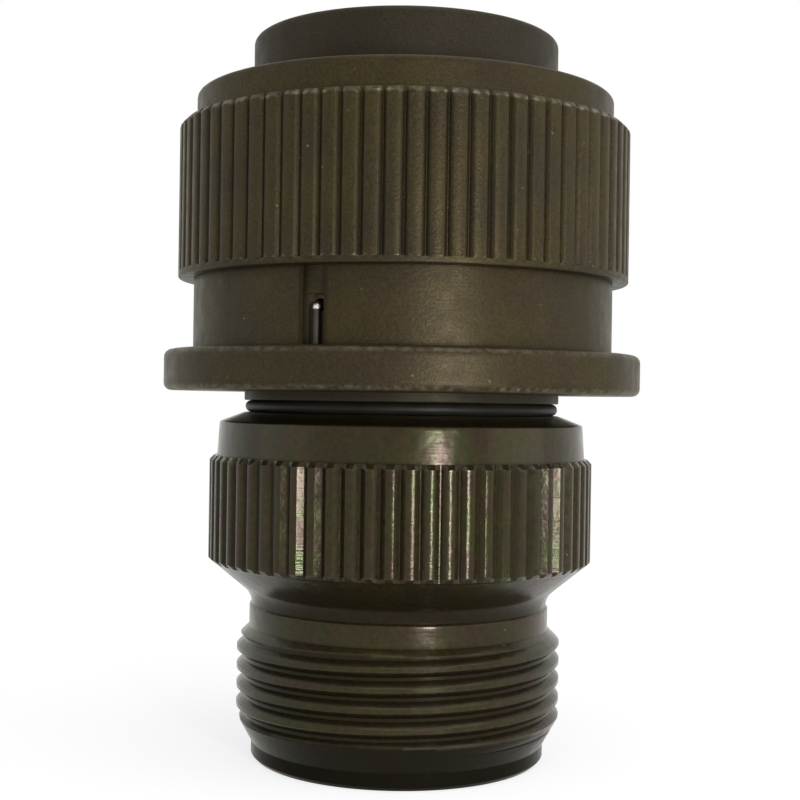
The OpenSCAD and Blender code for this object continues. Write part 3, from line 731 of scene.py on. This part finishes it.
def addThread(bm, steps, startAngle):
    # one turn of the thread's form is spun up a pitch, repeated, and trimmed between the chamfers
    strip = bmesh.new()
    pitch, low, high = back["pitch"], back["pilotTop"], back["threadEnd"]
    first = low - pitch * (1 + back["threadPhase"])
    form = list(back["threadForm"]) + [(1, back["threadForm"][0][1])]
    line = []
    for share, cut in form:
        radius = back["threadRadius"] - cut * back["threadDepth"]
        line.append(strip.verts.new((radius * mm, 0, (first + share * pitch) * mm)))
    for start, end in zip(line, line[1:]):
        strip.edges.new((start, end))
    turnAbout(strip, startAngle)
    bmesh.ops.spin(strip, geom=strip.verts[:] + strip.edges[:], cent=(0, 0, 0), axis=(0, 0, 1),
                   dvec=(0, 0, pitch * mm / steps), angle=fullTurn, steps=steps,
                   use_merge=False, use_duplicate=False)
    turns = math.ceil((high - first) / pitch) + 1
    oneTurn = strip.verts[:] + strip.edges[:] + strip.faces[:]
    for turn in range(1, turns):
        copy = bmesh.ops.duplicate(strip, geom=oneTurn)["geom"]
        moved = [item for item in copy if isinstance(item, bmesh.types.BMVert)]
        bmesh.ops.translate(strip, verts=moved, vec=(0, 0, turn * pitch * mm))
    step = fullTurn / steps
    for vert in strip.verts:
        column = round((math.atan2(vert.co.y, vert.co.x) - startAngle) / step)
        height = min(max(vert.co.z / mm, low), high)
        radius = min(math.hypot(vert.co.x, vert.co.y), threadEnvelope(height) * mm)
        angle = startAngle + column * step
        vert.co = (radius * math.cos(angle), radius * math.sin(angle), height * mm)
    bmesh.ops.remove_doubles(strip, verts=strip.verts, dist=weldGap)
    bmesh.ops.dissolve_degenerate(strip, edges=strip.edges, dist=weldGap / 4)
    thread = bpy.data.meshes.new("thread")
    strip.to_mesh(thread)
    strip.free()
    bm.from_mesh(thread)
    bpy.data.meshes.remove(thread)


def markRoots(bm):
    # painted shade in the thread's grooves, which leaves the crests as light lines
    paintedShade = bm.verts.layers.float["paintedShadeAmount"]
    cutFrom, cutTo = back["roots"]
    for vert in bm.verts:
        height, radius = vert.co.z / mm, math.hypot(vert.co.x, vert.co.y) / mm
        cut = (threadEnvelope(height) - radius) / back["threadDepth"]
        if back["pilotTop"] < height < back["threadEnd"] and cutFrom < cut < cutTo:
            vert[paintedShade] = back["paintedRootShade"]


def makeBackshell():
    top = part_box("backshell")[1].z / mm
    pilot, neck, rim, edgeRound = back["pilotRadius"], back["neckRadius"], back["rim"], back["edgeRound"]
    grip, gripLow, gripHigh = back["gripRadius"], back["gripLow"], back["gripHigh"]
    root = grip - back["toothDepth"]
    cove = neck - back["coveStep"]
    slope = (gripLow - back["coveLow"]) / (grip - cove)
    edge = grip - back["tooth"][0][1] * back["toothDepth"]
    flareLow = gripLow - slope * (grip - root)
    bm = bmesh.new()
    drawProfile(bm, [
        (pilot, back["pilotTop"], 0), (pilot, rim, edgeRound), (pilot - rim, 0, edgeRound),
        (back["cableRadius"], 0, back["entryRound"]), (back["cableRadius"], back["seatLow"], 0),
        (back["seatRadius"], back["seatLow"], 0), (back["seatRadius"], top, 0),
        (back["crownRadius"], top, back["crownRound"]),
        (back["cuffTopRadius"], back["cuffTop"], back["cuffRound"]), (back["cuffRadius"], gripHigh, 0),
        (grip - rim, gripHigh, 0), (grip, gripHigh - rim, 0), (grip, gripLow, 0),
        (edge, gripLow - slope * (grip - edge), 0), (root, flareLow, 0),
        (cove, back["coveLow"], back["coveRound"]), (cove, back["neckTop"], 0),
        (neck, back["neckTop"] - back["coveStep"], back["neckRound"]), (neck, back["threadEnd"], 0),
    ], closed=False)
    holdCorners(bm, back["cornerHold"])
    steps = back["teeth"] * len(back["tooth"])
    startAngle = back["tooth"][0][0] * fullTurn / back["teeth"]
    lathe(bm, steps, startAngle)
    cutTeeth(bm, back, grip, startAngle, flareLow, gripHigh)
    addThread(bm, steps, startAngle)
    cleanMesh(bm)
    markEdges(bm)
    markRoots(bm)
    for name, low, high, amount in back["marks"]:
        markBand(bm, name, low, high, amount)
    finishPiece(bm, "backShell", backOlive, "plug", "olive_backshell", "backshell", sharp=back["sharp"])


makeBackshell()


# Plug shell: plain rear end, collar, flange with the wire groove, and the mating barrel with its keyway
shell = {
    "rearRadius": 9.9, "rearChamfer": 0.3, "collarRadius": 10.83, "collarLow": 24.3,
    "flangeRadius": 12.35, "flangeLow": 29.25, "flangeHigh": 31.85,
    "grooveRadius": 12.03, "grooveLow": 29.85, "grooveHigh": 31.25,
    "sealRadius": 10.18, "sealHigh": 33.35, "barrelRadius": 10.48, "rimRound": 0.4,
    "frontBore": 8.4, "mouthChamfer": 0.3, "insertStop": 37.35, "insertBore": 8.9,
    "snapRadius": 9.35, "snapLow": 29.35, "snapHigh": 30.35,
    "keywayWidth": 3.2, "keywayDepth": 0.9, "keywayLength": 12, "keywayPast": 1,
    "edgeRound": 0.06, "collarRound": 0.1, "mouthRound": 0.05, "steps": 192, "cornerHold": 0.2,
}


def makePlugShell():
    low, high = (corner.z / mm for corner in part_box("plug_shell"))
    radii = ("rear", "collar", "flange", "groove", "seal", "barrel", "snap")
    rear, collar, flange, groove, seal, barrel, snap = (shell[name + "Radius"] for name in radii)
    heights = ("flangeLow", "grooveLow", "grooveHigh", "flangeHigh", "sealHigh", "snapLow", "snapHigh")
    flangeLow, grooveLow, grooveHigh, flangeHigh, sealHigh, snapLow, snapHigh = (shell[z] for z in heights)
    bore, front, stop = shell["insertBore"], shell["frontBore"], shell["insertStop"]
    chamfer, mouth, edge = shell["rearChamfer"], shell["mouthChamfer"], shell["edgeRound"]
    bm = bmesh.new()
    drawProfile(bm, [
        (bore, low, 0), (rear - chamfer, low, 0), (rear, low + chamfer, 0), (rear, shell["collarLow"], 0),
        (collar, shell["collarLow"], shell["collarRound"]), (collar, flangeLow, 0),
        (flange, flangeLow, edge), (flange, grooveLow, 0), (groove, grooveLow, 0), (groove, grooveHigh, 0),
        (flange, grooveHigh, 0), (flange, flangeHigh, edge), (seal, flangeHigh, 0), (seal, sealHigh, 0),
        (barrel, sealHigh, 0), (barrel, high, shell["rimRound"]),
        (front + mouth, high, shell["mouthRound"]), (front, high - mouth, 0), (front, stop, 0),
        (bore, stop, 0), (bore, snapHigh, 0), (snap, snapHigh, 0), (snap, snapLow, 0), (bore, snapLow, 0),
    ])
    holdCorners(bm, shell["cornerHold"])
    lathe(bm, shell["steps"])
    wide, past = shell["keywayWidth"] / 2, shell["keywayPast"]
    keyway = blockCutter((barrel - shell["keywayDepth"], -wide, high - shell["keywayLength"]),
                         (barrel + past, wide, high + past), math.radians(90))
    markEdges(bm)
    cutAway("plugShell", bm, [keyway])
    finishPiece(bm, "plugShell", shellOlive, "plug", "olive_shell", "plug_shell")


makePlugShell()


# Retaining wire: a tail in the slot, a bend in through the hole, and a turn round the groove
wire = {
    "radius": 0.25, "ringRadius": 12.43, "height": 30.15, "gap": 14,
    # a painted glint covers the bend above a sixth of its height
    "tailRadius": 13.67, "tailLow": 27.75, "bend": 0.3, "lean": 0.1, "glintFrom": 1 / 6,
    "sides": 16, "bendSteps": 8, "turnSteps": 192,
}


def makeWire():
    ringRadius, tail, tailLow = wire["ringRadius"] * mm, wire["tailRadius"] * mm, wire["tailLow"] * mm
    bend, height = wire["bend"] * mm, wire["height"] * mm
    quarter = {"angle": math.radians(90), "steps": wire["bendSteps"]}
    bm = bmesh.new()
    start = bmesh.ops.create_circle(bm, cap_ends=True, segments=wire["sides"],
                                    radius=wire["radius"] * mm)["verts"]
    bmesh.ops.translate(bm, verts=start, vec=(tail, 0, tailLow))

    def sweep(geom, **turn):
        way = {"cent": (0, 0, 0), "axis": (0, 0, 1), "dvec": (0, 0, 0), "angle": 0, "steps": 1}
        way.update(turn)
        return bmesh.ops.spin(bm, geom=geom, use_merge=False, use_duplicate=False, **way)["geom_last"]

    ends = sweep(start + bm.edges[:], dvec=(0, 0, height - bend - tailLow))
    ends = sweep(ends, cent=(tail - bend, 0, height - bend), axis=(0, -1, 0), **quarter)
    ends = sweep(ends, dvec=(ringRadius + 2 * bend - tail, 0, 0))
    ends = sweep(ends, cent=(ringRadius + bend, bend, height), axis=(0, 0, -1), **quarter)
    ends = sweep(ends, angle=math.radians(360 - wire["gap"]), steps=wire["turnSteps"])
    bmesh.ops.contextual_create(bm, geom=[e for e in ends if isinstance(e, bmesh.types.BMEdge)])
    cleanMesh(bm)
    # painted glint: the outer side of the bend's upper part turns near white
    paintedGlint = bm.verts.layers.float.new("paintedGlint")
    for vert in bm.verts:
        rise, out = vert.co.z - (height - bend), math.hypot(vert.co.x, vert.co.y)
        vert[paintedGlint] = 1 if bend * wire["glintFrom"] < rise < bend and out > tail else 0
    turnAbout(bm, math.radians(ring["slotAngle"]) - math.asin(wire["lean"] / wire["ringRadius"]))
    finishPiece(bm, "retainingWire", agedWire, "coupling", "spring_wire", "retaining_wire")


makeWire()


# Wave washer: a strip that rises and falls round the shell, on a mesh of its own
spring = {
    "innerRadius": 10.99, "outerRadius": 12.27, "thick": 0.3, "edgeRound": 0.04,
    "waves": 3, "steps": 192, "keep": 0.44,
}


def makeSpring():
    low, high = (corner.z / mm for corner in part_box("wave_spring"))
    inner, outer, edge = spring["innerRadius"], spring["outerRadius"], spring["edgeRound"]
    thick = spring["thick"]
    bm = bmesh.new()
    drawProfile(bm, [(inner, low, edge), (outer, low, edge),
                     (outer, low + thick, edge), (inner, low + thick, edge)])
    lathe(bm, spring["steps"])
    swing = (high - low - thick) / 2
    for vert in bm.verts:
        vert.co.z += swing * mm * (1 - math.cos(spring["waves"] * math.atan2(vert.co.y, vert.co.x)))
    piece = finishPiece(bm, "waveSpring", springSteel, "plug", "spring_wire", "wave_spring")
    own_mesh(piece)


makeSpring()


# Rubber rings: the seal at the barrel's root and the O-ring under the shell's collar
seals = {
    "innerRadius": 10.23, "outerRadius": 12.3, "edgeRound": 0.05, "crown": 0.98, "steps": 128, "sides": 24,
}


def makeSeal():
    low, high = (corner.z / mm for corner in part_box("mating_seal"))
    inner, outer, edge = seals["innerRadius"], seals["outerRadius"], seals["edgeRound"]
    crown = (outer - inner) / 2 * seals["crown"]
    bm = bmesh.new()
    drawProfile(bm, [(inner, low, edge), (outer, low, edge), (outer, high, crown), (inner, high, crown)])
    lathe(bm, seals["steps"])
    finishPiece(bm, "matingSeal", blackRubber, "plug", "black_rubber", "mating_seal")


def makeORing():
    low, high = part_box("backshell_o_ring")
    thick = (high.z - low.z) / 2
    bm = bmesh.new()
    bmesh.ops.create_circle(bm, segments=seals["sides"], radius=thick)
    turnAbout(bm, math.radians(90), "X")
    bmesh.ops.translate(bm, verts=bm.verts, vec=(high.x - thick, 0, low.z + thick))
    lathe(bm, seals["steps"])
    finishPiece(bm, "backshellORing", blackRubber, "plug", "black_rubber", "backshell_o_ring")


makeSeal()
makeORing()


# Insert: the front insulator with its socket holes, and the sleeve behind the grommet
insert = {
    "flangeRadius": 8.85, "flangeHigh": 37.3, "faceRadius": 8.35, "edgeRound": 0.1, "faceRound": 0.15,
    "entryRadius": 1.0, "entryChamfer": 0.35, "socketRadius": 1.3, "socketTop": 47.35,
    "shoulderRadius": 1.8, "shoulderTop": 35.95, "past": 0.5, "holeSteps": 48,
    "sleeveRadius": 9.8, "sleeveFlange": 1.2, "sleeveOuter": 8.8, "sleeveInner": 7.7, "sleeveRound": 0.2,
    "steps": 128,
}


def holeCutter(low, top, spots):
    # the stepped hole for a contact, repeated at each contact's place
    past, lead = insert["past"], insert["entryChamfer"]
    entry, socket, shoulder = (insert[name + "Radius"] for name in ("entry", "socket", "shoulder"))
    shoulderTop, socketTop = insert["shoulderTop"], insert["socketTop"]
    hole = bmesh.new()
    drawProfile(hole, [
        (0, low - past, 0), (shoulder, low - past, 0), (shoulder, shoulderTop, 0), (socket, shoulderTop, 0),
        (socket, socketTop, 0), (entry, socketTop, 0), (entry, top - lead, 0),
        (entry + lead + past, top + past, 0), (0, top + past, 0),
    ], closed=False)
    lathe(hole, insert["holeSteps"])
    one = hole.verts[:] + hole.edges[:] + hole.faces[:]
    for spot in spots[1:]:
        copy = bmesh.ops.duplicate(hole, geom=one)["geom"]
        moved = [item for item in copy if isinstance(item, bmesh.types.BMVert)]
        bmesh.ops.translate(hole, verts=moved, vec=spot - spots[0])
    bmesh.ops.translate(hole, verts=hole.verts, vec=spots[0])
    return hole


def makeInsert():
    low, high = (corner.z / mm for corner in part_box("front_insulator"))
    spots = []
    for name in sorted(nodes):
        if name.startswith("socket_contact"):
            near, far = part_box(name)
            spots.append(Vector(((near.x + far.x) / 2, (near.y + far.y) / 2, 0)))
    bm = bmesh.new()
    flange, flangeHigh, edge = insert["flangeRadius"], insert["flangeHigh"], insert["edgeRound"]
    face = insert["faceRadius"]
    drawProfile(bm, [
        (0, low, 0), (flange, low, edge), (flange, flangeHigh, edge),
        (face, flangeHigh, 0), (face, high, insert["faceRound"]), (0, high, 0),
    ], closed=False)
    lathe(bm, insert["steps"])
    cutAway("frontInsulator", bm, [holeCutter(low, high, spots)])
    finishPiece(bm, "frontInsulator", insertPlastic, "plug", "insert_plastic", "front_insulator")


def makeSleeve():
    low, high = (corner.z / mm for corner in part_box("grommet_follower"))
    bm = bmesh.new()
    inner, outer, edge = insert["sleeveInner"], insert["sleeveOuter"], insert["edgeRound"]
    flange, flangeTop = insert["sleeveRadius"], low + insert["sleeveFlange"]
    drawProfile(bm, [
        (inner, low, insert["sleeveRound"]), (flange, low, edge), (flange, flangeTop, edge),
        (outer, flangeTop, 0), (outer, high, edge), (inner, high, edge),
    ])
    lathe(bm, insert["steps"])
    finishPiece(bm, "grommetFollower", insertPlastic, "plug", "insert_plastic", "grommet_follower")


makeInsert()
makeSleeve()


# Hidden parts keep the shape of their solids and get the same materials
hiddenLooks = {
    "thrust_washer": springSteel, "insert_retaining_ring": springSteel,
    "rear_insulator": insertPlastic, "wire_grommet": blackRubber,
}


def dressHidden():
    for name, solid in nodes.items():
        gold = name.startswith(("socket_contact", "contact_clip"))
        if gold or name in hiddenLooks:
            solid.data.materials.clear()
            solid.data.materials.append(contactGold if gold else hiddenLooks[name])


dressHidden()
print("hidden parts dressed")
